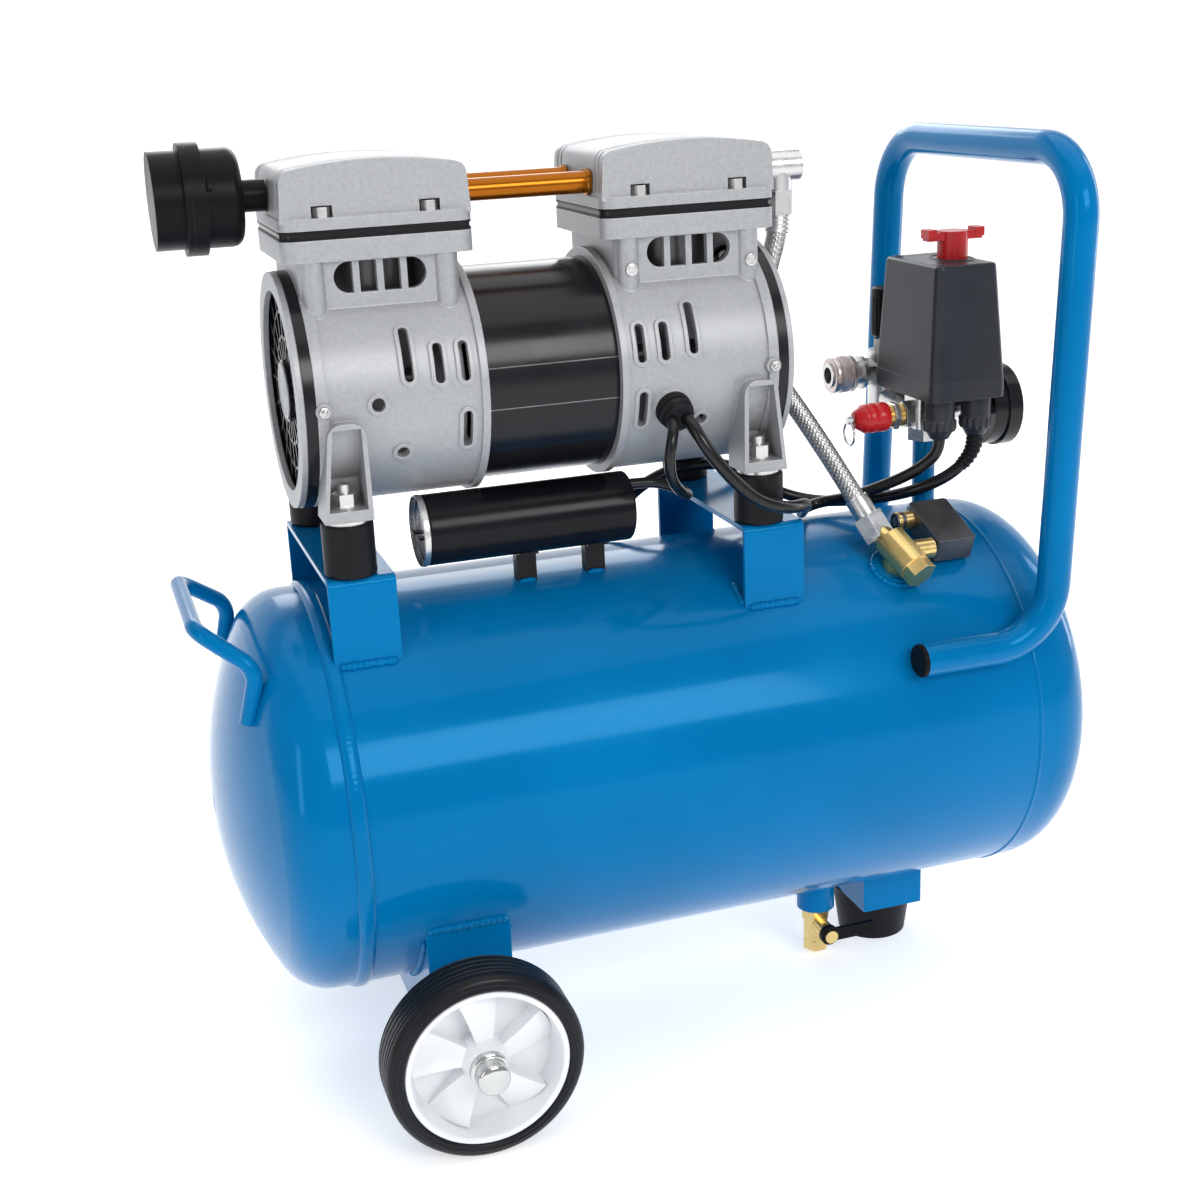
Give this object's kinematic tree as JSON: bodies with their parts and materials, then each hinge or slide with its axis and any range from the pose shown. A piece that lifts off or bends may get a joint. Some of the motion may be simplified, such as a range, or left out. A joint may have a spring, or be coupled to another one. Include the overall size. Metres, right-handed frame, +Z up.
{
  "type": "air compressor",
  "caption": "Portable oil-free air compressor: twin-cylinder pump on a horizontal blue tank with wheels, tube handle, pressure switch, gauge, regulator and mains lead.",
  "frame": {"origin": "on the floor, under the middle of the machine without its mains lead", "axes": "+X along the tank towards the tall handle, +Y towards the coupler side, +Z up"},
  "size_m": [0.5607, 0.405, 0.5498],
  "materials": {
    "blue_paint": "gloss",
    "cast_aluminium": "fine sand-cast, satin",
    "black_paint": "gloss",
    "matte_black": "moulded, fine grain",
    "switch_black": "moulded, satin",
    "red_plastic": "moulded",
    "black_rubber": "matte",
    "tyre_rubber": "ribbed and knurled",
    "white_rim": "moulded, satin",
    "steel": "zinc plated",
    "chrome": "polished",
    "lamination": "varnished",
    "gold_anodised": "anodised, satin",
    "steel_braid": "braided",
    "brass": "machined",
    "gauge_case": "satin",
    "needle": "painted",
    "capacitor_black": "shrink sleeve",
    "lead_black": "PVC sheath"
  },
  "bodies": {
    "tank_frame": {"tank_barrel": "blue_paint", "tank_domes": "blue_paint", "tank_bosses": "blue_paint", "saddle_brackets": "blue_paint", "axle_bracket": "blue_paint", "foot_bracket": "blue_paint", "frame_handle": "blue_paint", "carry_handle": "blue_paint", "crankcase_left": "cast_aluminium", "crankcase_right": "cast_aluminium", "head_covers": "cast_aluminium", "guard_rings": "cast_aluminium", "valve_plates": "cast_aluminium", "motor_barrel": "black_paint", "fan_guards": "black_paint", "intake_filter_body": "matte_black", "intake_filter_cover": "matte_black", "handle_end_caps": "matte_black", "switch_base": "switch_black", "switch_cover": "switch_black", "cable_glands": "switch_black", "unloader_valve": "switch_black", "safety_valve": "red_plastic", "rubber_foot": "black_rubber", "rubber_isolators": "black_rubber", "head_gaskets": "black_rubber", "isolator_studs": "steel", "head_bolts": "steel", "shaft_bearings": "steel", "cylinder_liners": "steel", "hose_fittings": "steel", "coupler_body": "steel", "capacitor_clamps": "steel", "manifold": "steel", "axle_bolts": "chrome", "stator": "lamination", "crossover_tubes": "gold_anodised", "braided_hose": "steel_braid", "check_valve": "brass", "drain_valve": "brass", "pressure_gauge": "gauge_case", "capacitor": "capacitor_black", "held_leads": "lead_black", "mains_lead": "lead_black", "mains_coil": "lead_black", "mains_plug": "lead_black"},
    "front_wheel": {"wheel_front": "white_rim", "tyre_front": "tyre_rubber"},
    "rear_wheel": {"wheel_rear": "white_rim", "tyre_rear": "tyre_rubber"},
    "crankshaft": {"rotor_shaft": "steel", "cooling_fans": "matte_black"},
    "left_piston": {"piston_rod_left": "cast_aluminium"},
    "right_piston": {"piston_rod_right": "cast_aluminium"},
    "switch_knob": {"switch_knob": "red_plastic"},
    "gauge_needle": {"gauge_needle": "needle"},
    "safety_pull": {"safety_valve_pull": "steel"},
    "regulator_knob": {"regulator_knob": "matte_black"},
    "coupler_sleeve": {"coupler_sleeve": "steel"},
    "drain_lever": {"drain_lever": "matte_black"}
  },
  "joints": [
    {"name": "front_wheel_spin", "type": "hinge", "parent": "tank_frame", "child": "front_wheel", "pos_m": [-0.154, -0.145, 0.0565], "axis": [0, 1, 0], "continuous": true},
    {"name": "rear_wheel_spin", "type": "hinge", "parent": "tank_frame", "child": "rear_wheel", "pos_m": [-0.154, 0.145, 0.0565], "axis": [0, 1, 0], "continuous": true},
    {"name": "shaft_spin", "type": "hinge", "parent": "tank_frame", "child": "crankshaft", "pos_m": [-0.0674, 0, 0.4124], "axis": [1, 0, 0], "continuous": true},
    {"name": "left_rod_swing", "type": "hinge", "parent": "crankshaft", "child": "left_piston", "pos_m": [-0.1561, 0, 0.4084], "axis": [1, 0, 0], "continuous": true},
    {"name": "right_rod_swing", "type": "hinge", "parent": "crankshaft", "child": "right_piston", "pos_m": [0.0213, 0, 0.4164], "axis": [1, 0, 0], "continuous": true},
    {"name": "switch_knob_pull", "type": "slide", "parent": "tank_frame", "child": "switch_knob", "axis": [0, 0, 1], "range_m": [-0.006, 0]},
    {"name": "gauge_needle_turn", "type": "hinge", "parent": "tank_frame", "child": "gauge_needle", "pos_m": [0.2455, 0, 0.358], "axis": [1, 0, 0], "range_deg": [0, 270], "stiffness_Nm_per_rad": 0.001},
    {"name": "safety_pull_slide", "type": "slide", "parent": "tank_frame", "child": "safety_pull", "axis": [-1, 0, 0], "range_m": [0, 0.004], "stiffness_N_per_m": 200},
    {"name": "regulator_knob_turn", "type": "hinge", "parent": "tank_frame", "child": "regulator_knob", "pos_m": [0.202, 0.06, 0.4145], "axis": [0, 0, 1], "range_deg": [-540, 540]},
    {"name": "coupler_sleeve_slide", "type": "slide", "parent": "tank_frame", "child": "coupler_sleeve", "axis": [1, 0, 0], "range_m": [0, 0.0045], "stiffness_N_per_m": 400},
    {"name": "drain_lever_turn", "type": "hinge", "parent": "tank_frame", "child": "drain_lever", "pos_m": [0.108, -0.043, 0.024], "axis": [0, -1, 0], "range_deg": [0, 90]}
  ],
  "couplings": [
    {"joint": "left_rod_swing", "follows": "shaft_spin", "ratio": -1},
    {"joint": "right_rod_swing", "follows": "shaft_spin", "ratio": -1}
  ]
}
